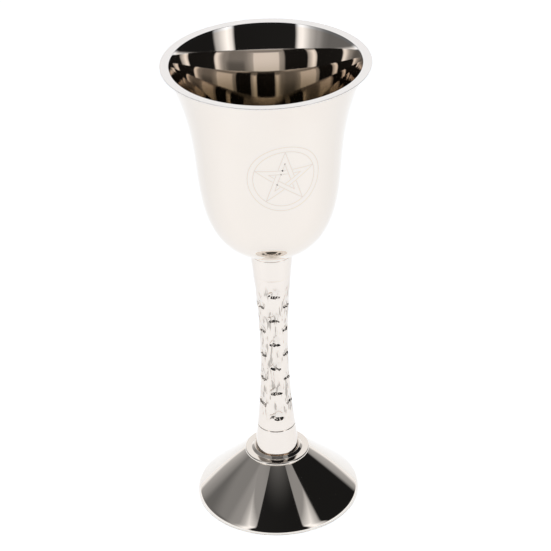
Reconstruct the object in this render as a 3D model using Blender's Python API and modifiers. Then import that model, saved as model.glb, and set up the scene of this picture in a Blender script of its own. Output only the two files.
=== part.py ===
"""A ritual goblet: a bell-shaped bowl with an engraved pentacle, a carved stem and a hollow conical foot.

Metres, +Z up. The origin is the centre of the ring that the foot stands on. The front is -Y, and the
pentacle is on it, turned a little towards +X.
"""

from math import cos, pi, radians, sin, sqrt, tan, tau

import bmesh
import bpy
from mathutils import Matrix, Vector
from mathutils.geometry import interpolate_bezier

# Driving dimensions
HEIGHT = 0.175
RIM_RADIUS = 0.0355
FOOT_RADIUS = 0.030
STEM_BOTTOM = 0.0200
STEM_TOP = 0.1036
JOINT_GAP = 0.0003           # left between two pieces where they are soldered together
ROUND_SIDES = 48

# Foot: a hollow, slightly swelling cone, rolled down at its edge, with a raised ring and a shoulder on top
FOOT_WALL = 0.0012
ROLL_RADIUS = 0.0029
ROLL_TURN = radians(45)      # through which the edge is rolled down, until it is upright
SWELL = 0.0003               # of the cone's side over a straight line, at its middle
STANDING_RING = 0.0022       # width of the flat ring that the foot stands on
CONE_TOP_RADIUS = 0.0113
CONE_TOP_HEIGHT = 0.0178
BEAD_RADIUS = 0.00055
SHOULDER_RADIUS = 0.0084
SHOULDER_WIDTH = 0.0010      # of the slope from the shoulder down to the bead

# Stem: a waisted column, with a plain collar and an engraved line at each end and a woven relief between
STEM_FOOT_RADIUS = 0.00805
STEM_HEAD_RADIUS = 0.0078
WAIST_RADIUS = 0.0051
WAIST_HEIGHT = 0.0615
FLARE_POWER = 1.85           # how late the column opens out towards its ends
LINE_HEIGHTS = (0.0297, 0.0935)
LINE_WIDTH = 0.0006
LINE_DEPTH = 0.00025

# Relief: flat bands that climb both ways round the stem and cross, standing between sunk hollows
BANDS_EACH_WAY = 3
BAND_REPEAT = 0.0103         # height between one crossing and the next one above it
BAND_WIDTH = 0.36            # of a band's flat top, as a share of the distance between neighbouring bands
BAND_EDGE = 0.10             # width of a band's sloping side, as the same share
BAND_SAG = 0.12              # how far the bands hang between crossings, as a share of the repeat
RELIEF_DEPTH = 0.0006
RELIEF_TURN = radians(8)     # from the front to the nearest column of hollows
RELIEF_START = 0.0338        # height of the lowest hollow's lower end
HOLLOWS_UP = 6               # in a full column; the columns between have one less
HOLLOW_SIDES = 12
CORNER_ROUNDING = 6          # power of the hollows' outline: 2 is a circle, and a higher one has sharper corners
STEM_SIDES = 32

# Bowl: a thin shell with a round bottom, a nearly upright wall and a mouth that turns out into a lip
SEAT_WALL = 0.0012           # thickness where it stands on the stem
BELLY_WALL = 0.0017          # thickness at the belly, above which the wall thins and then thickens to the lip
SEAT_RADIUS = 0.0082
SEAT_RISE = radians(15.5)    # of the underside where it leaves the stem, from level
BELLY_RADIUS = 0.0243
BELLY_HEIGHT = 0.1300
SEAT_PULL = 0.52             # pulls are the curve handles' lengths, as shares of the height of their part
BELLY_PULL_DOWN = 0.30
OUTER_LEAN = radians(9.5)    # of the wall at the belly, from upright
OUTER_RISE = radians(43.5)   # of the lip's underside where it ends, from level
OUTER_PULLS = (0.13, 0.26)   # up from the belly, and down from the lip
INNER_LEAN = radians(10.4)
INNER_RISE = radians(60)
INNER_PULLS = (0.365, 0.255)
LIP_WIDTH = 0.0033
LIP_FALL = 0.0005            # of the lip's inner edge below its outer edge
LIP_THICKNESS = 0.0008
LIP_BEVEL = 0.0003
OUTER_POINTS = (9, 9)        # along the bottom and along the side
INNER_POINTS = (8, 7)

# Pentacle: a star of double lines, over and under itself, in a double ring, cut into the bowl's front
PENTACLE_TURN = radians(11.6)
PENTACLE_HEIGHT = 0.1442
PENTACLE_BOWL_RADIUS = 0.0258    # of the bowl at that height
RING_RADII = (0.0126, 0.0107)
STAR_RADIUS = 0.0106
BAR_WIDTH = 0.0015
CUT_WIDTH = 0.00045
CUT_DEPTH = 0.00025
CUTTER_CLEARANCE = 0.002     # of the cutter in front of the bowl
TIP_HALF_ANGLE = pi / 10


def new_collection(name):
    collection = bpy.data.collections.new(name)
    bpy.context.scene.collection.children.link(collection)
    return collection


def polished_metal(name, colour, roughness):
    material = bpy.data.materials.new(name)
    material.use_nodes = True
    shader = material.node_tree.nodes["Principled BSDF"]
    shader.inputs["Base Color"].default_value = (*colour, 1.0)
    shader.inputs["Metallic"].default_value = 1.0
    shader.inputs["Roughness"].default_value = roughness
    return material


def turned(name, outline, collection, sides=ROUND_SIDES, closed=False):
    """Sweeps an outline of (radius, height) points once round Z."""
    count = len(outline)
    edges = [(i, i + 1) for i in range(count - 1)]
    if closed:
        edges.append((count - 1, 0))
    mesh = bpy.data.meshes.new(name)
    mesh.from_pydata([(radius, 0.0, height) for radius, height in outline], edges, [])
    piece = bpy.data.objects.new(name, mesh)
    collection.objects.link(piece)
    screw = piece.modifiers.new("Turn", "SCREW")
    screw.angle = tau
    screw.steps = sides
    screw.render_steps = sides
    screw.use_merge_vertices = True
    screw.merge_threshold = 0.00001
    return piece


def shaped(piece):
    """The piece's mesh with its modifiers worked out."""
    graph = bpy.context.evaluated_depsgraph_get()
    return bpy.data.meshes.new_from_object(piece.evaluated_get(graph))


def settle(piece, material, sharpest=30):
    """Keeps the worked-out shape as the piece's own mesh, sharp where it turns by more than so many degrees."""
    mesh = shaped(piece)
    piece.modifiers.clear()
    piece.data = mesh
    piece.data.materials.append(material)
    mesh.shade_smooth()
    mesh.set_sharp_from_angle(angle=radians(sharpest))


def hide_cutter(cutter):
    cutter.hide_render = True
    cutter.display_type = "WIRE"


def cut(piece, cutter, operation="DIFFERENCE"):
    boolean = piece.modifiers.new("Cut", "BOOLEAN")
    boolean.operation = operation
    boolean.solver = "EXACT"
    boolean.object = cutter


def offset(points, distance):
    """The (radius, height) points moved square to their own line, outwards on a line that runs upwards."""
    moved = []
    for i, point in enumerate(points):
        before = points[max(i - 1, 0)]
        after = points[min(i + 1, len(points) - 1)]
        along = (Vector(after) - Vector(before)).normalized()
        moved.append((point[0] + along.y * distance, point[1] - along.x * distance))
    return moved


# Foot


def bead(radius, height, size, steps=3):
    """A half-round ring, as points from its upper edge round to its lower edge."""
    turns = [pi / 2 - pi * i / steps for i in range(steps + 1)]
    return [(radius + size * cos(turn), height + size * sin(turn)) for turn in turns]


def foot_outline():
    """The foot's section, from the middle of its top down the outside and back up the hollow underneath."""
    turns = (ROLL_TURN, ROLL_TURN / 2, 0.0)
    roll = [(FOOT_RADIUS - ROLL_RADIUS * (1.0 - cos(turn)), ROLL_RADIUS * sin(turn)) for turn in turns]
    cone_radius, cone_height = roll[0]
    cone_middle = ((cone_radius + CONE_TOP_RADIUS) / 2, (cone_height + CONE_TOP_HEIGHT) / 2)
    slope = (CONE_TOP_HEIGHT - cone_height) / (cone_radius - CONE_TOP_RADIUS)
    slant = sqrt(1.0 + slope * slope)
    drop = FOOT_WALL * slant
    hollow_radius = FOOT_RADIUS - STANDING_RING
    hollow_foot = cone_height + slope * (cone_radius - hollow_radius) - drop
    ceiling = CONE_TOP_HEIGHT - FOOT_WALL
    ceiling_radius = cone_radius - (ceiling + drop - cone_height) / slope
    shoulder = STEM_BOTTOM - JOINT_GAP
    outline = [(0.0, shoulder), (SHOULDER_RADIUS, shoulder)]
    outline.append((SHOULDER_RADIUS + SHOULDER_WIDTH, CONE_TOP_HEIGHT + 2 * BEAD_RADIUS))
    outline += bead(CONE_TOP_RADIUS, CONE_TOP_HEIGHT + BEAD_RADIUS, BEAD_RADIUS)
    outline.append((cone_middle[0] + SWELL * slope / slant, cone_middle[1] + SWELL / slant))
    outline += [*roll, (hollow_radius, 0.0)]
    outline += [(hollow_radius, hollow_foot), (ceiling_radius, ceiling), (0.0, ceiling)]
    return outline


# Stem


def stem_radius(height):
    end = STEM_BOTTOM if height < WAIST_HEIGHT else STEM_TOP
    end_radius = STEM_FOOT_RADIUS if height < WAIST_HEIGHT else STEM_HEAD_RADIUS
    share = (height - WAIST_HEIGHT) / (end - WAIST_HEIGHT)
    return WAIST_RADIUS + (end_radius - WAIST_RADIUS) * share**FLARE_POWER


def stem_outline():
    """The stem's profile from the top down, with a groove for each engraved line."""
    ends = [STEM_TOP, *reversed(LINE_HEIGHTS), STEM_BOTTOM]
    outline = [(0.0, STEM_TOP)]
    for upper, lower, rows in zip(ends, ends[1:], (1, 7, 1)):
        top = upper - LINE_WIDTH / 2 if upper in LINE_HEIGHTS else upper
        bottom = lower + LINE_WIDTH / 2 if lower in LINE_HEIGHTS else lower
        heights = [top + (bottom - top) * i / rows for i in range(rows + 1)]
        outline += [(stem_radius(height), height) for height in heights]
        if lower in LINE_HEIGHTS:
            outline.append((stem_radius(lower) - LINE_DEPTH, lower))
    outline.append((0.0, STEM_BOTTOM))
    return outline


def hollow_ring(column, row, lift):
    """The rim of a hollow: a diamond with round corners, between two bands each way.

    The lift is from the stem's plain outline, and the hollow is wider the higher its rim is.
    """
    half = (1.0 - BAND_WIDTH) / 2 + BAND_EDGE * lift / RELIEF_DEPTH
    ring = []
    for i in range(HOLLOW_SIDES):
        across = cos(tau * (i + 0.5) / HOLLOW_SIDES)
        along = sin(tau * (i + 0.5) / HOLLOW_SIDES)
        reach = half / (across**CORNER_ROUNDING + along**CORNER_ROUNDING) ** (1 / CORNER_ROUNDING)
        ring.append(on_relief(column, row, reach * (across + along) / 2, reach * (along - across) / 2, lift))
    return ring


def on_relief(column, row, aside, up, lift):
    """A point of the relief, from its place within its hollow in bands' distances."""
    turn = (column / 2 + aside) / BANDS_EACH_WAY * tau
    sag = BAND_SAG * abs(sin(tau * (column / 2 + aside)))
    climb = row + (1.0 - BAND_WIDTH) / 2 + column % 2 / 2 + up - sag
    height = RELIEF_START + climb * BAND_REPEAT
    radius = stem_radius(height) + lift
    return (radius * cos(turn), radius * sin(turn), height)


def carve(stem, collection):
    """Cuts the relief's hollows into the stem, with a plug for each that bulges out well clear of it."""
    builder = bmesh.new()
    for column in range(2 * BANDS_EACH_WAY):
        for row in range(HOLLOWS_UP - column % 2):
            rings = []
            for lift, crown in ((-RELIEF_DEPTH, -RELIEF_DEPTH), (RELIEF_DEPTH / 2, WAIST_RADIUS)):
                ring = [builder.verts.new(place) for place in hollow_ring(column, row, lift)]
                centre = builder.verts.new(on_relief(column, row, 0.0, 0.0, crown))
                for i in range(len(ring)):
                    builder.faces.new((ring[i - 1], ring[i], centre))
                rings.append(ring)
            for i in range(len(rings[0])):
                builder.faces.new((rings[0][i - 1], rings[0][i], rings[1][i], rings[1][i - 1]))
    bmesh.ops.recalc_face_normals(builder, faces=builder.faces)
    mesh = bpy.data.meshes.new("relief_cutter")
    builder.to_mesh(mesh)
    builder.free()
    mesh.transform(Matrix.Rotation(RELIEF_TURN - pi / 2, 4, "Z"))
    cutter = bpy.data.objects.new("relief_cutter", mesh)
    collection.objects.link(cutter)
    hide_cutter(cutter)
    cut(stem, cutter)


# Bowl


def wall_curve(seat, belly, lip, lean, rise, pulls, points):
    """One side of the bowl's wall, as points from its seat on the stem up to the lip.

    The lean is at the belly, the rise is at the lip, and the points are counted along the bottom and the side.
    """
    from_seat = Vector((cos(SEAT_RISE), sin(SEAT_RISE)))
    up_wall = Vector((sin(lean), cos(lean)))
    to_lip = Vector((cos(rise), sin(rise)))
    bottom = belly.y - seat.y
    side = lip.y - belly.y
    handles = (seat + from_seat * bottom * SEAT_PULL, belly - up_wall * bottom * BELLY_PULL_DOWN)
    curve = interpolate_bezier(seat, *handles, belly, points[0])
    handles = (belly + up_wall * side * pulls[0], lip - to_lip * side * pulls[1])
    curve += interpolate_bezier(belly, *handles, lip, points[1])[1:]
    return [tuple(point) for point in curve]


def outer_curve():
    seat = Vector((SEAT_RADIUS, STEM_TOP + JOINT_GAP))
    belly = Vector((BELLY_RADIUS, BELLY_HEIGHT))
    lip = Vector((RIM_RADIUS - LIP_THICKNESS, HEIGHT - LIP_THICKNESS))
    return wall_curve(seat, belly, lip, OUTER_LEAN, OUTER_RISE, OUTER_PULLS, OUTER_POINTS)


def inner_curve():
    seat = Vector((SEAT_RADIUS, STEM_TOP + JOINT_GAP + SEAT_WALL))
    belly = Vector((BELLY_RADIUS - BELLY_WALL, BELLY_HEIGHT))
    lip = Vector((RIM_RADIUS - LIP_WIDTH, HEIGHT - LIP_FALL))
    return wall_curve(seat, belly, lip, INNER_LEAN, INNER_RISE, INNER_PULLS, INNER_POINTS)


def bowl_outline():
    """The bowl's section, from the middle of its floor up the inside, over the lip and down the outside."""
    inner = inner_curve()
    edge = [(RIM_RADIUS - LIP_BEVEL, HEIGHT), (RIM_RADIUS, HEIGHT - LIP_BEVEL)]
    outer = outer_curve()[::-1]
    return [(0.0, inner[0][1])] + inner + edge + outer + [(0.0, outer[-1][1])]


# Pentacle


def star_edges(inset):
    """The straight edges of the star's five bars, as (start, direction), at an inset from the outside."""
    tips = [Vector((0.0, STAR_RADIUS)) @ Matrix.Rotation(2 * tau * k / 5, 2) for k in range(5)]
    edges = []
    for k in range(5):
        along = (tips[(k + 1) % 5] - tips[k]).normalized()
        inward = Vector((-along.y, along.x))
        if inward.dot(tips[k]) > 0.0:
            inward.negate()
        edges.append((tips[k] + inward * inset + along * inset / tan(TIP_HALF_ANGLE), along))
    return edges


def meeting(edge, other):
    """How far along one edge it meets the line of the other."""
    start, along = edge
    other_start, other_along = other
    return (other_start - start).cross(other_along) / along.cross(other_along)


def star_strokes():
    """Lines of three points, one outside and one inside each tip, broken where a bar goes under another."""
    strokes = []
    sides = [star_edges(0.0), star_edges(BAR_WIDTH)]
    for edges in sides:
        gaps = []
        for k, edge in enumerate(edges):
            crossings = [meeting(edge, side[(k + 3) % 5]) for side in sides]
            gaps.append((min(crossings) - CUT_WIDTH, max(crossings) + CUT_WIDTH))
        for k, (start, along) in enumerate(edges):
            before_start, before_along = edges[k - 1]
            first = before_start + before_along * gaps[k - 1][1]
            strokes.append((first, start, start + along * gaps[k][0]))
    return strokes


def stroke_outline(stroke):
    """The outline of a line of three points with a sharp corner, cut off square at its ends and at its tip."""
    first, corner, last = stroke
    into = (corner - first).normalized()
    out = (last - corner).normalized()
    half = CUT_WIDTH / 2
    square_in = Vector((-into.y, into.x)) * half
    square_out = Vector((-out.y, out.x)) * half
    if square_in.dot(out) > 0.0:
        square_in.negate()
        square_out.negate()
    notch = corner + (out - into).normalized() * half / sin(TIP_HALF_ANGLE)
    outside = [first + square_in, corner + square_in, corner + square_out, last + square_out]
    return outside + [last - square_out, notch, first - square_in]


def circle_outline(radius):
    turns = [tau * i / ROUND_SIDES for i in range(ROUND_SIDES)]
    return [Vector((radius * cos(turn), radius * sin(turn))) for turn in turns]


def flat_cutter(name, outlines, collection):
    """A thick plate in front of the bowl, square to the way that the pentacle faces.

    The outlines are measured along the bowl's curved wall, so the plate holds them narrowed at the sides.
    """
    curve = bpy.data.curves.new(name, "CURVE")
    curve.dimensions = "2D"
    curve.fill_mode = "BOTH"
    curve.extrude = RIM_RADIUS / 5
    for outline in outlines:
        spline = curve.splines.new("POLY")
        spline.points.add(len(outline) - 1)
        for point, place in zip(spline.points, outline):
            aside = PENTACLE_BOWL_RADIUS * sin(place.x / PENTACLE_BOWL_RADIUS)
            point.co = (aside, place.y, 0.0, 1.0)
        spline.use_cyclic_u = True
    plate = bpy.data.objects.new(name, curve)
    collection.objects.link(plate)
    facing = Matrix.Rotation(PENTACLE_TURN, 4, "Z") @ Matrix.Rotation(pi / 2, 4, "X")
    outwards = facing @ Vector((0.0, 0.0, BELLY_RADIUS))
    plate.matrix_world = Matrix.Translation(outwards + Vector((0.0, 0.0, PENTACLE_HEIGHT))) @ facing
    bpy.context.view_layer.update()
    mesh = shaped(plate)
    welder = bmesh.new()
    welder.from_mesh(mesh)
    bmesh.ops.remove_doubles(welder, verts=welder.verts, dist=0.00001)
    bmesh.ops.recalc_face_normals(welder, faces=welder.faces)
    welder.to_mesh(mesh)
    welder.free()
    cutter = bpy.data.objects.new(name, mesh)
    collection.objects.link(cutter)
    cutter.matrix_world = plate.matrix_world
    bpy.data.objects.remove(plate, do_unlink=True)
    return cutter


def engrave(bowl, collection):
    """Cuts the pentacle's rings and star into the bowl, only as deep as a skin that follows its outside."""
    reach = RING_RADII[0] * 1.25
    outer = [point for point in outer_curve() if abs(point[1] - PENTACLE_HEIGHT) < reach]
    front = offset(outer, CUTTER_CLEARANCE)[::-1]
    skin = turned("skin", front + offset(outer, -CUT_DEPTH), collection, closed=True)
    hide_cutter(skin)
    circles = [circle_outline(radius + side * CUT_WIDTH / 2) for radius in RING_RADII for side in (1, -1)]
    star = [stroke_outline(stroke) for stroke in star_strokes()]
    for name, outlines in (("ring_cutter", circles), ("star_cutter", star)):
        cutter = flat_cutter(name, outlines, collection)
        hide_cutter(cutter)
        cut(cutter, skin, "INTERSECT")
        cut(bowl, cutter)


for thing in list(bpy.data.objects):
    bpy.data.objects.remove(thing, do_unlink=True)
goblet = new_collection("ritual_goblet")
cutters = new_collection("cutters")

foot = turned("foot", foot_outline(), goblet)
settle(foot, polished_metal("foot_metal", (0.83, 0.81, 0.78), 0.05))

stem = turned("stem", stem_outline(), goblet, STEM_SIDES)
carve(stem, cutters)
settle(stem, polished_metal("stem_metal", (0.83, 0.80, 0.77), 0.12), 16)

bowl = turned("bowl", bowl_outline(), goblet)
engrave(bowl, cutters)
settle(bowl, polished_metal("bowl_metal", (0.84, 0.81, 0.78), 0.04))
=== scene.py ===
from math import cos, pi, radians, sin, sqrt, tan, tau

import bpy
import numpy as np
from mathutils import Matrix, Vector
from mathutils.geometry import interpolate_bezier


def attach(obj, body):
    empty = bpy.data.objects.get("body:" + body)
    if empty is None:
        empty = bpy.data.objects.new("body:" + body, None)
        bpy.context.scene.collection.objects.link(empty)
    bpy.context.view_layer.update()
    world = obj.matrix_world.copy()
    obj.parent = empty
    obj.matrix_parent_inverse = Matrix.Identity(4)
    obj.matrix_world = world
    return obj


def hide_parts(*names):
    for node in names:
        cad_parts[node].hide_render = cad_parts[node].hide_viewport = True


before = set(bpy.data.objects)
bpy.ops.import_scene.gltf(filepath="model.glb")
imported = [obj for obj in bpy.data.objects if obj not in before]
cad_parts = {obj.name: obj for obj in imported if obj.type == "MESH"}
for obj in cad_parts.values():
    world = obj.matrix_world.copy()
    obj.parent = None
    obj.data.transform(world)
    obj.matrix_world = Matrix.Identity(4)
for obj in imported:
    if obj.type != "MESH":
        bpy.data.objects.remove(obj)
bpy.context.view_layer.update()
scene = bpy.context.scene


# ---- Foot
# The conical foot that the goblet stands on: spun from sheet brass over a former, silver plated
# and polished. Its edge is turned down to a narrow standing ring, the top is pressed into a bead
# and a low shoulder for the stem, and the hollow underneath is left plain.


def fillet_section(corners, steps=5, hold=0.00012):
    """A section of (radius, height) points from corners of (radius, height, fillet).

    Each fillet is an arc, with one more point close to each of its ends to keep the flats flat.
    """
    points = []
    for k, (x, z, fillet) in enumerate(corners):
        corner = Vector((x, z))
        if k in (0, len(corners) - 1):
            points.append(tuple(corner))
            continue
        back = (Vector(corners[k - 1][:2]) - corner).normalized()
        on = (Vector(corners[k + 1][:2]) - corner).normalized()
        half = back.angle(on) / 2
        centre = corner + (back + on).normalized() * fillet / sin(half)
        reach = fillet / tan(half)
        start = (back * reach + corner - centre).normalized()
        end = (on * reach + corner - centre).normalized()
        points.append(tuple(corner + back * (reach + hold)))
        for i in range(steps + 1):
            points.append(tuple(centre + start.slerp(end, i / steps) * fillet))
        points.append(tuple(corner + on * (reach + hold)))
    return points


def turned_mesh(name, section, turns):
    """Sweeps a section round Z through the given turns, angles from the front (-Y) towards +X.

    The section starts and ends on the axis and has the material on its left.
    """
    radii, heights = np.array(section[1:-1]).T
    rows, columns = len(radii), len(turns)
    places = np.empty((rows, columns, 3))
    places[:, :, 0] = radii[:, None] * np.sin(turns)
    places[:, :, 1] = -radii[:, None] * np.cos(turns)
    places[:, :, 2] = heights[:, None]
    points = [tuple(place) for place in places.reshape(-1, 3)]
    first, last = len(points), len(points) + 1
    points += [(0.0, 0.0, section[0][1]), (0.0, 0.0, section[-1][1])]
    here = np.arange(rows * columns).reshape(rows, columns)
    beside = np.roll(here, -1, axis=1)
    faces = np.stack([here[:-1], beside[:-1], beside[1:], here[1:]], axis=-1)
    faces = faces.reshape(-1, 4).tolist()
    faces += [(first, b, a) for a, b in zip(here[0].tolist(), beside[0].tolist())]
    faces += [(last, a, b) for a, b in zip(here[-1].tolist(), beside[-1].tolist())]
    mesh = bpy.data.meshes.new(name)
    mesh.from_pydata(points, [], faces)
    mesh.shade_smooth()
    return mesh


def add_piece(name, mesh, material, node):
    """Puts a finished mesh in the scene as the piece that shows in place of a CAD node."""
    piece = bpy.data.objects.new(name, mesh)
    scene.collection.objects.link(piece)
    if not mesh.materials:
        mesh.materials.append(material)
    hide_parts(node)
    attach(piece, "root")


def add_node(tree, kind, links=(), **settings):
    """A node with its settings, and its inputs linked to sockets or set to plain values."""
    node = tree.nodes.new(kind)
    for name, value in settings.items():
        setattr(node, name, value)
    for socket, value in links:
        if isinstance(value, bpy.types.NodeSocket):
            tree.links.new(value, node.inputs[socket])
        else:
            node.inputs[socket].default_value = value
    return node


def calc(tree, operation, *values):
    """One Math node's result."""
    return add_node(tree, "ShaderNodeMath", enumerate(values), operation=operation).outputs[0]


def product(tree, result, *factors):
    """Several values multiplied, one after another."""
    for factor in factors:
        result = calc(tree, "MULTIPLY", result, factor)
    return result


def from_axis(tree, x, y):
    """How far a place is from the Z axis."""
    squares = calc(tree, "ADD", product(tree, x, x), product(tree, y, y))
    return calc(tree, "SQRT", squares)


def ease(tree, value, start, end):
    """0 at start and 1 at end, smoothly, and level outside them. Start may be the larger."""
    links = [("Value", value), ("From Min", start), ("From Max", end)]
    node = add_node(tree, "ShaderNodeMapRange", links, interpolation_type="SMOOTHSTEP")
    return node.outputs[0]


def slide(tree, value, start, end, low, high):
    """Low at start and high at end, in a straight line, and level outside them."""
    links = [("Value", value), ("From Min", start), ("From Max", end)]
    links += [("To Min", low), ("To Max", high)]
    return add_node(tree, "ShaderNodeMapRange", links).outputs[0]


def mix(tree, share, base, other, kind="RGBA"):
    """Base where the share is 0 and other where it is 1: colours, or numbers if kind is FLOAT."""
    first, second, result = {"RGBA": (6, 7, 2), "FLOAT": (2, 3, 0)}[kind]
    links = [(0, share), (first, base), (second, other)]
    return add_node(tree, "ShaderNodeMix", links, data_type=kind).outputs[result]


def add_sizes(tree, sizes):
    """Gives a node group a number input for each named size."""
    for name, size in sizes.items():
        socket = tree.interface.new_socket(name, in_out="INPUT", socket_type="NodeSocketFloat")
        socket.default_value = size


def build_spun_finish():
    """Shader group: the rings that spinning and lathe polishing leave, and a soft haze.

    Height is for a Bump node. Haze runs from 0 to 1 in soft patches, where handling has dulled the
    plate.
    """
    ring_drift, haze_span = 0.0004, (0.45, 0.75)
    tree = bpy.data.node_groups.new("spun finish", "ShaderNodeTree")
    add_sizes(tree, {
        "Ring pitch": 0.0006,
        "Ring depth": 0.3,
        "Ripple size": 0.02,
        "Ripple depth": 1.0,
    })
    for name in ("Height", "Haze"):
        tree.interface.new_socket(name, in_out="OUTPUT", socket_type="NodeSocketFloat")
    given = add_node(tree, "NodeGroupInput").outputs
    place = add_node(tree, "ShaderNodeTexCoord").outputs["Object"]
    x, y, z = add_node(tree, "ShaderNodeSeparateXYZ", [(0, place)]).outputs
    turn = product(tree, calc(tree, "ARCTAN2", x, y), ring_drift)
    parts = [(0, from_axis(tree, x, y)), (1, z), (2, turn)]
    spun = add_node(tree, "ShaderNodeCombineXYZ", parts).outputs[0]
    fine = calc(tree, "DIVIDE", 1.0, given["Ring pitch"])
    links = [("Vector", spun), ("Scale", fine), ("Detail", 3.0)]
    rings = add_node(tree, "ShaderNodeTexNoise", links).outputs[0]
    wide = calc(tree, "DIVIDE", 1.0, given["Ripple size"])
    links = [("Vector", place), ("Scale", wide), ("Detail", 1.0)]
    ripple = add_node(tree, "ShaderNodeTexNoise", links).outputs[0]
    ring_height = product(tree, rings, given["Ring depth"])
    ripple_height = product(tree, ripple, given["Ripple depth"])
    height = calc(tree, "ADD", ring_height, ripple_height)
    haze = ease(tree, ripple, *haze_span)
    add_node(tree, "NodeGroupOutput", [("Height", height), ("Haze", haze)])
    return tree


spun_finish = build_spun_finish()


def silver_plate(name, bright, worn, polished, dulled, sizes):
    """Silver plate, with its bright colour and the warmer one of thin places.

    Polished and dulled are its roughness, and sizes are those of its spun finish.
    """
    bump_strength, bump_distance = 0.03, 0.0001
    material = bpy.data.materials.new(name)
    material.use_nodes = True
    tree = material.node_tree
    shader = tree.nodes["Principled BSDF"]
    shader.inputs["Metallic"].default_value = 1.0
    finish = add_node(tree, "ShaderNodeGroup", node_tree=spun_finish)
    for socket, size in sizes.items():
        finish.inputs[socket].default_value = size
    height, haze = finish.outputs["Height"], finish.outputs["Haze"]
    colour = mix(tree, haze, (*bright, 1.0), (*worn, 1.0))
    roughness = slide(tree, haze, 0.0, 1.0, polished, dulled)
    links = [("Height", height), ("Strength", bump_strength), ("Distance", bump_distance)]
    relief = add_node(tree, "ShaderNodeBump", links).outputs[0]
    tree.links.new(colour, shader.inputs["Base Color"])
    tree.links.new(roughness, shader.inputs["Roughness"])
    tree.links.new(relief, shader.inputs["Normal"])
    return material


foot_radius, hollow_radius, sheet = 0.030, 0.0278, 0.0012
roll_radius, roll_turn, roll_steps = 0.0029, radians(45.0), 14
roll_end = Vector((
    foot_radius - roll_radius * (1.0 - cos(roll_turn)),
    roll_radius * sin(roll_turn),
))
cone_top, swell = Vector((0.0113, 0.0178)), 0.0003
cone_slope = (cone_top.y - roll_end.y) / (roll_end.x - cone_top.x)
square_to_cone = Vector((cone_slope, 1.0)).normalized()
ceiling = cone_top.y - sheet
drop = sheet * sqrt(1.0 + cone_slope**2)
foot_section = fillet_section([
    (0.0, ceiling, 0.0),
    (roll_end.x - (ceiling + drop - roll_end.y) / cone_slope, ceiling, 0.0006),
    (hollow_radius, roll_end.y + cone_slope * (roll_end.x - hollow_radius) - drop, 0.0004),
    (hollow_radius, 0.0, 0.0003),
    (foot_radius, 0.0, 0.0001),
    (foot_radius, 0.0003, 0.0),
])[:-1]
for i in range(1, roll_steps + 1):
    turn = roll_turn * i / roll_steps
    foot_section.append((foot_radius - roll_radius * (1.0 - cos(turn)), roll_radius * sin(turn)))
for share in (0.03, 0.1, 0.2, 0.3, 0.4, 0.5, 0.6, 0.7, 0.8, 0.9, 0.97, 0.995, 1.0):
    place = roll_end.lerp(cone_top, share) + square_to_cone * 4.0 * swell * share * (1.0 - share)
    foot_section.append(tuple(place))
bead_size, bead_steps = 0.00055, 12
for i in range(1, bead_steps):
    rise = -pi / 2 + pi * i / bead_steps
    out, up = bead_size * cos(rise), bead_size * (1.0 + sin(rise))
    foot_section.append((cone_top.x + out, cone_top.y + up))
bead_top, shoulder_top = 0.0189, 0.0197
foot_section += fillet_section([
    (cone_top.x, bead_top, 0.0),
    (0.0094, bead_top, 0.0005),
    (0.0084, shoulder_top, 0.00015),
    (0.0, shoulder_top, 0.0),
])
even_turns = np.radians(np.arange(0.0, 360.0, 1.5))
foot_plate = silver_plate(
    "foot silver plate",
    bright=(0.80, 0.745, 0.69),
    worn=(0.79, 0.73, 0.67),
    polished=0.03,
    dulled=0.05,
    sizes={"Ring pitch": 0.0005, "Ring depth": 0.25, "Ripple size": 0.03, "Ripple depth": 0.8},
)
add_piece("foot_shell", turned_mesh("foot_shell", foot_section, even_turns), foot_plate, "foot")


# ---- Stem
# One waisted brass casting, silver plated. Its plain ends are turned, with fine engraved lines
# round them, and between them bands climb both ways round it, over and under each other, on a sunk
# ground, painted a little darker as shade. It was polished by hand, so its edges are soft and a
# little tarnish is left in the relief.

stem_foot, stem_head = 0.0200, 0.1036
# Each line's height, width and depth.
stem_lines = ((0.0297, 0.0005, 0.00016), (0.0935, 0.0005, 0.00008), (0.1020, 0.0004, 0.0001))


def stem_radius(height):
    """The plain column's radius, least at the waist and opening out late towards both ends."""
    waist_radius, waist_height, flare = 0.0051, 0.0615, 1.85
    end, end_radius = (stem_foot, 0.00805) if height < waist_height else (stem_head, 0.0078)
    share = (height - waist_height) / (end - waist_height)
    return waist_radius + (end_radius - waist_radius) * share**flare


def stem_section(row=0.00025, fillet=0.00015):
    """The stem without its relief, from its foot up, with a rounded groove for each line."""
    rows = round((stem_head - stem_foot) / row)
    heights = set(np.linspace(stem_foot + fillet, stem_head - fillet, rows))
    shares = (0.07, 0.2, 0.35, 0.5, 0.6)
    for line, width, _ in stem_lines:
        heights = {height for height in heights if abs(height - line) > width * shares[-1]}
        heights |= {line + side * width * share for share in shares for side in (-1.0, 1.0)}
    section = [(0.0, stem_foot), (stem_radius(stem_foot) - fillet, stem_foot)]
    for height in sorted(heights):
        radius = stem_radius(height)
        for line, width, depth in stem_lines:
            aside = min(abs(height - line) / (width / 2), 1.0)
            radius -= depth * (1.0 - aside**2)
        section.append((radius, height))
    return section + [(stem_radius(stem_head) - fillet, stem_head), (0.0, stem_head)]


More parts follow.
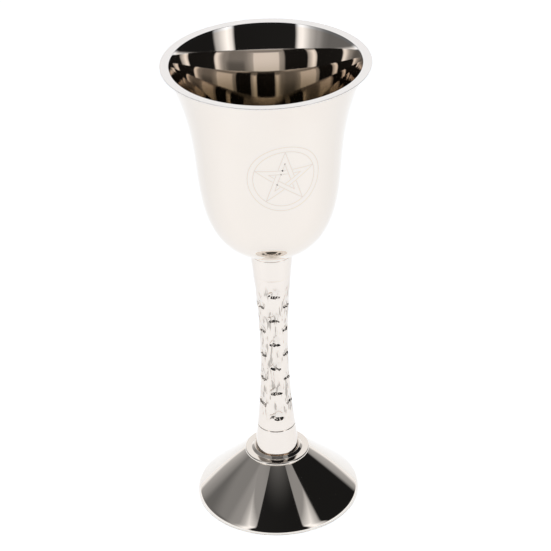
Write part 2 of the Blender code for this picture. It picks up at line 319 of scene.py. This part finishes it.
def build_woven_relief():
    """Geometry Nodes tree that sinks a stem between woven bands, and keeps how far as "sunk".

    Across and along are a place's distances from the middle of its hollow, square to the two ways
    that the bands climb, in bands' distances. A hollow is a diamond with round corners between four
    bands. Lift is how far up it a place is, and beside how far to the right. Hollows are deep low
    down, where a ledge leads out of them, and fade out towards the top and both sides.
    """
    ledge_span, lift_span = (-0.25, -0.6), (0.6, -0.2)
    right_span, left_span = (0.48, 0.12), (-0.66, -0.42)
    end_span, end_trim = (0.001, 0.004), 0.36
    crown_gap, crown_width = 0.02, 0.2
    band_blend, dip_blend, hollow_blend, rest_level = 0.2, 0.1, 0.12, 0.02
    grain_squeeze, core = 0.6, 0.0045

    tree = bpy.data.node_groups.new("woven relief", "GeometryNodeTree")
    tree.interface.new_socket("Geometry", in_out="INPUT", socket_type="NodeSocketGeometry")
    add_sizes(tree, {
        "Bands each way": 3.0,
        "Repeat": 0.0103,
        "Band width": 0.36,
        "Band edge": 0.12,
        "Ledge": 0.12,
        "Sag": 0.12,
        "Depth": 0.0008,
        "Weave": 0.24,
        "Grain": 0.0012,
        "Unevenness": 0.3,
        "Turn": radians(8.0),
        "Start": 0.0338,
        "Hollows up": 6.0,
        "Corner power": 6.0,
    })
    tree.interface.new_socket("Metal", in_out="INPUT", socket_type="NodeSocketMaterial")
    tree.interface.new_socket("Geometry", in_out="OUTPUT", socket_type="NodeSocketGeometry")
    given = add_node(tree, "NodeGroupInput").outputs
    place = add_node(tree, "GeometryNodeInputPosition").outputs[0]
    x, y, z = add_node(tree, "ShaderNodeSeparateXYZ", [(0, place)]).outputs

    # Where a place is between the bands.
    turn = calc(tree, "ARCTAN2", x, product(tree, y, -1.0))
    turn = calc(tree, "SUBTRACT", turn, given["Turn"])
    turn = product(tree, turn, calc(tree, "DIVIDE", given["Bands each way"], tau))
    sag = calc(tree, "ABSOLUTE", calc(tree, "SINE", product(tree, turn, tau)))
    sag = product(tree, sag, given["Sag"])
    above = calc(tree, "SUBTRACT", z, given["Start"])
    widest = calc(tree, "DIVIDE", calc(tree, "SUBTRACT", 1.0, given["Band width"]), 2.0)
    climb = calc(tree, "DIVIDE", above, given["Repeat"])
    climb = calc(tree, "ADD", climb, calc(tree, "SUBTRACT", sag, widest))
    falling = calc(tree, "SUBTRACT", turn, climb)
    rising = calc(tree, "ADD", turn, climb)
    falling_count = calc(tree, "ROUND", falling)
    rising_count = calc(tree, "ROUND", rising)
    across = calc(tree, "SUBTRACT", falling, falling_count)
    along = calc(tree, "SUBTRACT", rising, rising_count)
    lift = calc(tree, "SUBTRACT", along, across)
    beside = calc(tree, "ADD", along, across)
    across = calc(tree, "ABSOLUTE", across)
    along = calc(tree, "ABSOLUTE", along)

    # The casting's unevenness.
    parts = [(0, x), (1, y), (2, product(tree, z, grain_squeeze))]
    squat = add_node(tree, "ShaderNodeCombineXYZ", parts).outputs[0]
    scale = calc(tree, "DIVIDE", 1.0, given["Grain"])
    links = [("Vector", squat), ("Scale", scale), ("Detail", 1.0)]
    rough = add_node(tree, "ShaderNodeTexNoise", links).outputs[0]
    rough = product(tree, calc(tree, "SUBTRACT", rough, 0.5), given["Unevenness"])

    # The hollows, of which only whole ones between the stem's plain ends are kept.
    power = given["Corner power"]
    reach = calc(tree, "ADD", calc(tree, "POWER", across, power), calc(tree, "POWER", along, power))
    reach = calc(tree, "POWER", reach, calc(tree, "DIVIDE", 1.0, power))
    reach = calc(tree, "ADD", reach, rough)
    edge = product(tree, ease(tree, lift, *ledge_span), given["Ledge"])
    edge = calc(tree, "ADD", given["Band edge"], edge)
    row = calc(tree, "DIVIDE", calc(tree, "SUBTRACT", rising_count, falling_count), 2.0)
    top_row = calc(tree, "SUBTRACT", given["Hollows up"], 0.75)
    hollow = product(
        tree,
        ease(tree, reach, widest, calc(tree, "SUBTRACT", widest, edge)),
        ease(tree, lift, *lift_span),
        ease(tree, beside, *right_span),
        ease(tree, beside, *left_span),
        calc(tree, "GREATER_THAN", row, -0.25),
        calc(tree, "LESS_THAN", row, top_row),
    )

    # The bands, each with a rounded crown that dips where it passes under another.
    edge = calc(tree, "ADD", calc(tree, "DIVIDE", given["Band width"], 2.0), crown_gap)
    heights = []
    ways = ((across, rising, falling, 0.5), (along, falling, rising, -0.5))
    for distance, other, own, side in ways:
        crown = calc(tree, "SUBTRACT", 0.5, distance)
        crown = ease(tree, crown, calc(tree, "ADD", edge, crown_width), edge)
        flip = calc(tree, "COSINE", product(tree, calc(tree, "FLOOR", own), pi))
        swing = product(tree, calc(tree, "SINE", product(tree, other, pi)), flip)
        under = calc(tree, "SUBTRACT", 0.5, product(tree, swing, side))
        under = product(tree, under, given["Weave"])
        heights.append(product(tree, crown, calc(tree, "SUBTRACT", 1.0, under)))
    band = calc(tree, "SMOOTH_MAX", *heights, band_blend)
    extent = calc(tree, "SUBTRACT", given["Hollows up"], end_trim)
    to_end = calc(tree, "SUBTRACT", product(tree, given["Repeat"], extent), above)
    inside = product(tree, ease(tree, above, *end_span), ease(tree, to_end, *end_span))
    dip = calc(tree, "SMOOTH_MIN", calc(tree, "SUBTRACT", 1.0, band), given["Weave"], dip_blend)
    dip = calc(tree, "ADD", product(tree, dip, inside), product(tree, rough, inside))

    # The deeper of the two is taken off the radius, but not near the axis, on the end faces.
    sunk = calc(tree, "SMOOTH_MAX", hollow, dip, hollow_blend)
    sunk = calc(tree, "SUBTRACT", sunk, rest_level)
    radius = from_axis(tree, x, y)
    outside = calc(tree, "GREATER_THAN", radius, core)
    share = calc(tree, "DIVIDE", given["Depth"], calc(tree, "MAXIMUM", radius, core))
    share = product(tree, share, sunk, product(tree, outside, -1.0))
    inwards = add_node(tree, "ShaderNodeCombineXYZ", [(0, x), (1, y), (2, 0.0)]).outputs[0]
    links = [(0, inwards), ("Scale", share)]
    inwards = add_node(tree, "ShaderNodeVectorMath", links, operation="SCALE").outputs[0]
    links = [("Geometry", given["Geometry"]), ("Name", "sunk"), ("Value", sunk)]
    kept = add_node(tree, "GeometryNodeStoreNamedAttribute", links, data_type="FLOAT").outputs[0]
    links = [("Geometry", kept), ("Offset", inwards)]
    carved = add_node(tree, "GeometryNodeSetPosition", links).outputs[0]
    real = add_node(tree, "GeometryNodeRealizeInstances", [(0, carved)]).outputs[0]
    links = [("Geometry", real), ("Material", given["Metal"])]
    plated = add_node(tree, "GeometryNodeSetMaterial", links).outputs[0]
    add_node(tree, "NodeGroupOutput", [("Geometry", plated)])
    return tree


def stem_plate():
    """The stem's silver plate, duller where the relief is sunk, with painted shade making it a
    little darker there, and with upright tarnished streaks.
    """
    # Painted shade: the sunk ground is painted a little darker.
    sunk_painted_shade, sunk_roughness = (0.775, 0.715, 0.66, 1.0), 0.12
    tarnish, tarnish_share = (0.30, 0.27, 0.24, 1.0), 0.7
    streak_scale, streak_squeeze, streak_span = 1100.0, 0.18, (0.53, 0.67)
    foot_span, head_span = (0.033, 0.038), (0.092, 0.087)
    material = silver_plate(
        "stem silver plate",
        bright=(0.80, 0.733, 0.675),
        worn=(0.785, 0.713, 0.65),
        polished=0.05,
        dulled=0.08,
        sizes={"Ring pitch": 0.0008, "Ring depth": 0.2, "Ripple size": 0.01, "Ripple depth": 0.6},
    )
    tree = material.node_tree
    inputs = tree.nodes["Principled BSDF"].inputs
    colour = inputs["Base Color"].links[0].from_socket
    roughness = inputs["Roughness"].links[0].from_socket
    sunk = add_node(tree, "ShaderNodeAttribute", attribute_name="sunk").outputs["Fac"]
    # Painted shade in the sunk relief.
    colour = mix(tree, sunk, colour, sunk_painted_shade)
    roughness = mix(tree, sunk, roughness, sunk_roughness, kind="FLOAT")
    place = add_node(tree, "ShaderNodeTexCoord").outputs["Object"]
    x, y, z = add_node(tree, "ShaderNodeSeparateXYZ", [(0, place)]).outputs
    parts = [(0, x), (1, y), (2, product(tree, z, streak_squeeze))]
    drawn = add_node(tree, "ShaderNodeCombineXYZ", parts).outputs[0]
    links = [("Vector", drawn), ("Scale", streak_scale), ("Detail", 2.0)]
    streaks = add_node(tree, "ShaderNodeTexNoise", links).outputs[0]
    streaks = product(tree, ease(tree, streaks, *streak_span), tarnish_share)
    zone = product(tree, ease(tree, z, *foot_span), ease(tree, z, *head_span))
    colour = mix(tree, product(tree, streaks, zone), colour, tarnish)
    tree.links.new(colour, inputs["Base Color"])
    tree.links.new(roughness, inputs["Roughness"])
    return material


stem_metal = stem_plate()
blank = bpy.data.objects.new("stem_blank", turned_mesh("stem_blank", stem_section(), even_turns))
scene.collection.objects.link(blank)
weave = blank.modifiers.new("weave", "NODES")
weave.node_group = build_woven_relief()
for socket in weave.node_group.interface.items_tree:
    if socket.in_out == "INPUT" and socket.name == "Metal":
        weave[socket.identifier] = stem_metal
graph = bpy.context.evaluated_depsgraph_get()
stem_mesh = bpy.data.meshes.new_from_object(
    blank.evaluated_get(graph), preserve_all_data_layers=True, depsgraph=graph
)
bpy.data.objects.remove(blank, do_unlink=True)
add_piece("stem_casting", stem_mesh, stem_metal, "stem")


# ---- Bowl
# The cup: spun from one sheet, silver plated and polished inside and out, with its mouth rolled out
# into a flat lip. Deep in the cup its colour is painted darker and browner, as shade, and the
# lip is painted paler, as a highlight. A pentacle is engraved on the front: a star of double lines
# that weaves over and under itself, inside a double ring, its lines painted dark as shade.

bowl_foot, bowl_top, rim_radius = 0.1039, 0.175, 0.0355


def wall_curve(seat, belly, lip, lean, rise, pulls):
    """One side of the bowl's wall, from its seat on the stem round the belly and up to the lip.

    Lean is from upright at the belly, and rise from level at the lip, in degrees. Pulls are the
    curve handles' lengths above the belly and below the lip, as shares of the height between them.
    """
    seat_rise, seat_pull, belly_pull, steps = radians(15.5), 0.52, 0.30, 400
    seat, belly, lip = Vector(seat), Vector(belly), Vector(lip)
    low, high = belly.y - seat.y, lip.y - belly.y
    from_seat = Vector((cos(seat_rise), sin(seat_rise))) * low * seat_pull
    up_wall = Vector((sin(radians(lean)), cos(radians(lean))))
    to_lip = Vector((cos(radians(rise)), sin(radians(rise)))) * high * pulls[1]
    below = belly - up_wall * low * belly_pull
    above = belly + up_wall * high * pulls[0]
    curve = interpolate_bezier(seat, seat + from_seat, below, belly, steps)
    curve += interpolate_bezier(belly, above, lip - to_lip, lip, steps)[1:]
    return np.array(curve)[:, :2]


outside = wall_curve(
    seat=(0.0082, bowl_foot),
    belly=(0.0243, 0.1300),
    lip=(0.0337, 0.1738),
    lean=7.0,
    rise=64.6,
    pulls=(0.226, 0.457),
)
inside = wall_curve(
    seat=(0.0082, bowl_foot + 0.0012),
    belly=(0.0226, 0.1300),
    lip=(0.03245, 0.1748),
    lean=10.4,
    rise=60.0,
    pulls=(0.365, 0.263),
)


def lengths_along(curve):
    """Each point's distance along a curve from its start."""
    return np.concatenate([[0.0], np.cumsum(np.hypot(*np.diff(curve, axis=0).T))])


def spaced(curve, stops):
    """The points of a curve that are the given lengths along it."""
    lengths = lengths_along(curve)
    return np.stack([np.interp(stops, lengths, curve[:, k]) for k in (0, 1)], axis=1)


def bowl_section(engraved, fine=0.00016, coarse=0.0009, inner_points=60):
    """The bowl's section from the middle of its underside out, up, over the lip and down inside.

    Its points are fine between the two engraved heights, and coarse elsewhere.
    """
    flat_underside = 0.0080
    ledge_out, ledge_up, lip_edge = 0.0002, 0.0004, 0.0003
    lengths = lengths_along(outside)
    bottom, top = np.interp(engraved, outside[:, 1], lengths)
    stops = []
    parts = ((0.0, bottom, coarse), (bottom, top, fine), (top, lengths[-1], coarse))
    for start, end, step in parts:
        stops += list(np.linspace(start, end, round((end - start) / step), endpoint=False))
    outer = spaced(outside, [*stops, lengths[-1]])
    inner = spaced(inside, np.linspace(0.0, lengths_along(inside)[-1], inner_points))
    section = [(0.0, bowl_foot), (flat_underside, bowl_foot), *map(tuple, outer[:-1])]
    section += fillet_section([
        (*outer[-1], 0.0),
        (outer[-1][0] + ledge_out, outer[-1][1] + ledge_up, 0.0002),
        (rim_radius, bowl_top - lip_edge, 0.0001),
        (rim_radius, bowl_top, 0.0001),
        (*inner[-1], 0.0002),
        (*inner[-2], 0.0),
    ])
    section += [tuple(point) for point in inner[-3:1:-1]]
    return section + fillet_section([
        (*inner[1], 0.0),
        (*inner[0], 0.007),
        (0.0, inner[0][1], 0.0),
    ])


pentacle_turn, pentacle_height = radians(11.6), 0.1442
ring_radii, star_radius, bar_width = (0.0126, 0.0107), 0.0106, 0.0015
cut_width, cut_depth = 0.00045, 0.0001
stop_radius, stop_depth = 0.0004, 0.00022


def star_sides():
    """The star's strokes for its bars' outer and inner sides: each one's start and direction."""
    tips = [Vector((sin(2 * tau * k / 5), cos(2 * tau * k / 5))) * star_radius for k in range(5)]
    sides = []
    for inset in (0.0, bar_width):
        side = []
        for k in range(5):
            along = (tips[(k + 1) % 5] - tips[k]).normalized()
            inward = Vector((along.y, -along.x))
            if inward.dot(tips[k]) > 0.0:
                inward.negate()
            side.append((tips[k] + inward * inset + along * inset / tan(pi / 10), along))
        sides.append(side)
    return sides


def reach_of(stroke, other):
    """How far along a stroke another one crosses it."""
    (start, along), (place, way) = stroke, other
    return (place - start).cross(way) / along.cross(way)


def star_lines(sides):
    """The star's strokes as lines (start, end), broken where one bar passes under another."""
    lines = []
    for side in sides:
        for k, stroke in enumerate(side):
            start, along = stroke
            crossings = [reach_of(stroke, other[(k + 3) % 5]) for other in sides]
            lines.append((start, start + along * (min(crossings) - cut_width)))
            lines.append((start + along * (max(crossings) + cut_width), side[(k + 1) % 5][0]))
    return lines


def graver_stops(sides):
    """Where the graver dug in along one bar's inner line as it met other lines, and how hard."""
    outer, inner = sides
    bar_line = inner[4]
    start, along = bar_line
    met = ((inner[0], 0.8), (outer[2], 1.0), (inner[2], 0.6), (inner[1], 0.25), (outer[1], 0.8))
    return [(start + along * reach_of(bar_line, other), force) for other, force in met]


def engrave(mesh):
    """Sinks the pentacle's lines, as shallow round-bottomed grooves, and the graver's stops.

    Both are marked as "cut", and the side of the wall towards the drink as "within".
    """
    field_turn, field_height = radians(34.0), 0.0145
    least_wall, line_share = 0.0003, 0.25
    count = len(mesh.vertices)
    places = np.empty(count * 3)
    mesh.vertices.foreach_get("co", places)
    places = places.reshape(-1, 3)
    radius = np.hypot(places[:, 0], places[:, 1])
    turn = np.arctan2(places[:, 0], -places[:, 1]) - pentacle_turn
    behind = np.interp(places[:, 2], outside[:, 1], outside[:, 0]) - least_wall
    x = radius * turn
    y = places[:, 2] - pentacle_height
    near = (np.abs(turn) < field_turn) & (np.abs(y) < field_height) & (radius > behind)
    reach = np.full(count, 1.0)
    for ring in ring_radii:
        reach = np.minimum(reach, np.abs(np.hypot(x, y) - ring))
    sides = star_sides()
    for start, end in star_lines(sides):
        along = np.array(end - start)
        aside, above = x - start.x, y - start.y
        share = np.clip((aside * along[0] + above * along[1]) / (along @ along), 0.0, 1.0)
        reach = np.minimum(reach, np.hypot(aside - share * along[0], above - share * along[1]))
    cut = np.where(near, np.clip(1.0 - (reach / (cut_width / 2)) ** 2, 0.0, 1.0), 0.0)
    pit = np.zeros(count)
    for stop, force in graver_stops(sides):
        depth = 1.0 - (np.hypot(x - stop.x, y - stop.y) / stop_radius) ** 2
        pit = np.maximum(pit, np.where(near, force * np.clip(depth, 0.0, 1.0), 0.0))
    sunk = cut_depth * cut + stop_depth * pit
    places[:, :2] *= (1.0 - sunk / np.maximum(radius, 0.001))[:, None]
    mesh.vertices.foreach_set("co", places.ravel())
    within = np.where(radius < behind, 1.0, 0.0)
    # "cut" is where the bowl is painted dark: shade in the lines, dark reflections in the stops.
    for name, values in (("cut", np.maximum(line_share * cut, pit)), ("within", within)):
        mesh.attributes.new(name, "FLOAT", "POINT").data.foreach_set("value", values)


def bowl_plate():
    """The bowl's silver plate: painted shade, darker and browner, deep in the cup, a painted
    highlight that makes the lip paler, and painted shade in the engraved lines, with painted dark
    reflections in the graver's stops.
    """
    # Painted shade: the inside of the cup is painted darker and browner towards the bottom.
    painted_deep_shade, deep_shade_span = (0.53, 0.475, 0.395, 1.0), (0.166, 0.145)
    # Painted highlight: the lip is painted paler.
    lip_painted_highlight, lip_highlight_span = (0.82, 0.795, 0.78, 1.0), (0.1736, 0.1743)
    # Painted shade in the engraved lines, and painted dark reflections in the graver's stops.
    painted_groove_shade = (0.17, 0.17, 0.17, 1.0)
    material = silver_plate(
        "bowl silver plate",
        bright=(0.80, 0.733, 0.67),
        worn=(0.792, 0.72, 0.656),
        polished=0.03,
        dulled=0.045,
        sizes={"Ring pitch": 0.0006, "Ring depth": 0.2, "Ripple size": 0.035, "Ripple depth": 0.8},
    )
    tree = material.node_tree
    base_colour = tree.nodes["Principled BSDF"].inputs["Base Color"]
    place = add_node(tree, "ShaderNodeTexCoord").outputs["Object"]
    height = add_node(tree, "ShaderNodeSeparateXYZ", [(0, place)]).outputs[2]
    cut = add_node(tree, "ShaderNodeAttribute", attribute_name="cut").outputs["Fac"]
    within = add_node(tree, "ShaderNodeAttribute", attribute_name="within").outputs["Fac"]
    # Painted shade deep inside the cup.
    deep_shade = product(tree, within, ease(tree, height, *deep_shade_span))
    colour = mix(tree, deep_shade, base_colour.links[0].from_socket, painted_deep_shade)
    # Painted highlight on the lip.
    colour = mix(tree, ease(tree, height, *lip_highlight_span), colour, lip_painted_highlight)
    # Painted shade and dark reflections in the engraving.
    tree.links.new(mix(tree, cut, colour, painted_groove_shade), base_colour)
    return material


half_field, fine_turn, coarse_turns = radians(29.5), radians(0.355), 111
field_start, field_end = pentacle_turn - half_field, pentacle_turn + half_field
bowl_turns = np.concatenate([
    np.arange(-half_field, half_field, fine_turn) + pentacle_turn,
    np.linspace(field_end, field_start + tau, coarse_turns)[:-1],
])
bowl_mesh = turned_mesh("bowl_shell", bowl_section(engraved=(0.1312, 0.1572)), bowl_turns)
engrave(bowl_mesh)
add_piece("bowl_shell", bowl_mesh, bowl_plate(), "bowl")


# ---- Table
# A plain white surface, lit a little from within like a light table, so that it shows no hard
# shadow. It glows less towards the back, where more of the room's light falls on it.

reach = 4.0
glow_span, front_glow, back_glow = (-0.06, 0.1), 0.815, 0.71
corners = [(-reach, -reach, 0.0), (reach, -reach, 0.0), (reach, reach, 0.0), (-reach, reach, 0.0)]
table_mesh = bpy.data.meshes.new("table")
table_mesh.from_pydata(corners, [], [(0, 1, 2, 3)])
table = bpy.data.objects.new("table", table_mesh)
scene.collection.objects.link(table)
table_white = bpy.data.materials.new("table white")
table_white.use_nodes = True
table_tree = table_white.node_tree
table_shader = table_tree.nodes["Principled BSDF"]
table_shader.inputs["Base Color"].default_value = (0.9, 0.9, 0.9, 1.0)
table_shader.inputs["Roughness"].default_value = 0.9
table_shader.inputs["Emission Color"].default_value = (0.93, 0.975, 1.02, 1.0)
table_place = add_node(table_tree, "ShaderNodeTexCoord").outputs["Object"]
table_back = add_node(table_tree, "ShaderNodeSeparateXYZ", [(0, table_place)]).outputs[1]
table_glow = slide(table_tree, table_back, *glow_span, front_glow, back_glow)
table_tree.links.new(table_glow, table_shader.inputs["Emission Strength"])
table_mesh.materials.append(table_white)


# ---- Studio
# Soft light all round from a white room, with a black flag in front and one at the right, between
# tall light panels. The polished metal shows them as its dark and light bands. The backdrop is
# plain white.


def build_studio():
    """The world's light: a ring of soft boxes and flags under a dim ceiling with a lamp.

    A box is a direction from the front towards +X, in degrees, and its brightness there. Each rise
    is the height from level, in degrees, through which a light comes in.
    """
    boxes = (
        (-180, 1.02), (-149, 1.02), (-146, 0.58), (-138, 0.45), (-128, 0.31), (-118, 0.26),
        (-84, 0.25), (-76, 0.33), (-66, 0.35), (-58, 0.6), (-48, 1.25), (-43, 1.15),
        (-38, 0.015), (38, 0.012), (42, 1.0), (48, 1.35), (60, 0.65), (64, 0.5),
        (67, 0.012), (127, 0.012), (131, 0.36), (142, 0.5), (146, 1.0), (180, 1.02),
    )
    box_top_rise, box_limits = (45, 52), (1.5, 0.32)
    shade_middle, shade_span, shade_rise, shade_dark = radians(98), (30, 20), (34, 22), 0.4
    ceiling_rise, ceiling_depth, ceiling_light = (56, 74), (-0.15, 0.1), (0.18, 0.95)
    lamp_rise, lamp_light = (77, 82), 1.6
    floor_rise, floor_light = (6, 2), 1.08
    backdrop_light = 1.0
    world = bpy.data.worlds.new("studio")
    world.use_nodes = True
    tree = world.node_tree
    way = add_node(tree, "ShaderNodeTexCoord").outputs["Generated"]
    x, y, z = add_node(tree, "ShaderNodeSeparateXYZ", [(0, way)]).outputs
    up = calc(tree, "DEGREES", calc(tree, "ARCSINE", z))
    aside = calc(tree, "ARCTAN2", x, product(tree, y, -1.0))
    share = calc(tree, "ADD", calc(tree, "DIVIDE", aside, tau), 0.5)
    ring = add_node(tree, "ShaderNodeValToRGB", [(0, share)])
    ramp = ring.color_ramp
    while len(ramp.elements) < len(boxes):
        ramp.elements.new(0.5)
    for stop, (direction, value) in zip(ramp.elements, boxes):
        stop.position = direction / 360 + 0.5
        stop.color = (value, value, value, 1.0)
    limit = slide(tree, up, *box_top_rise, *box_limits)
    light = calc(tree, "MINIMUM", ring.outputs[0], limit)
    shade = calc(tree, "ABSOLUTE", calc(tree, "ADD", aside, shade_middle))
    shade = ease(tree, shade, *map(radians, shade_span))
    shade = product(tree, shade, ease(tree, up, *shade_rise))
    light = product(tree, light, calc(tree, "SUBTRACT", 1.0, product(tree, shade, shade_dark)))
    for share, value in (
        (ease(tree, up, *ceiling_rise), slide(tree, y, *ceiling_depth, *ceiling_light)),
        (ease(tree, up, *lamp_rise), lamp_light),
        (ease(tree, up, *floor_rise), floor_light),
        (add_node(tree, "ShaderNodeLightPath").outputs["Is Camera Ray"], backdrop_light),
    ):
        light = mix(tree, share, light, value, kind="FLOAT")
    tree.links.new(light, tree.nodes["Background"].inputs["Color"])
    return world


scene.world = build_studio()
scene.view_settings.view_transform = "Standard"
scene.cycles.max_bounces = 16
scene.cycles.glossy_bounces = 12


# ---- Camera
# A long lens, from above and in front, tipped very slightly to one side. Its distance and height
# are in the goblet's heights.

goblet_height = 0.175
distance, eye = 3.612 * goblet_height, 2.688 * goblet_height
pitch, yaw, roll = radians(30.90), radians(0.109), radians(-1.663)
forward = Vector((sin(yaw) * cos(pitch), cos(yaw) * cos(pitch), -sin(pitch)))
right = Vector((cos(yaw), -sin(yaw), 0.0))
upward = right.cross(forward)
right, upward = cos(roll) * right + sin(roll) * upward, cos(roll) * upward - sin(roll) * right
lens = bpy.data.cameras.new("camera")
lens.sensor_width = 36.0
lens.lens = 136.4
lens.clip_start = 0.01
camera = bpy.data.objects.new("camera", lens)
scene.collection.objects.link(camera)
camera.matrix_world = Matrix((
    (right.x, upward.x, -forward.x, 0.0),
    (right.y, upward.y, -forward.y, -distance),
    (right.z, upward.z, -forward.z, eye),
    (0.0, 0.0, 0.0, 1.0),
))
scene.camera = camera
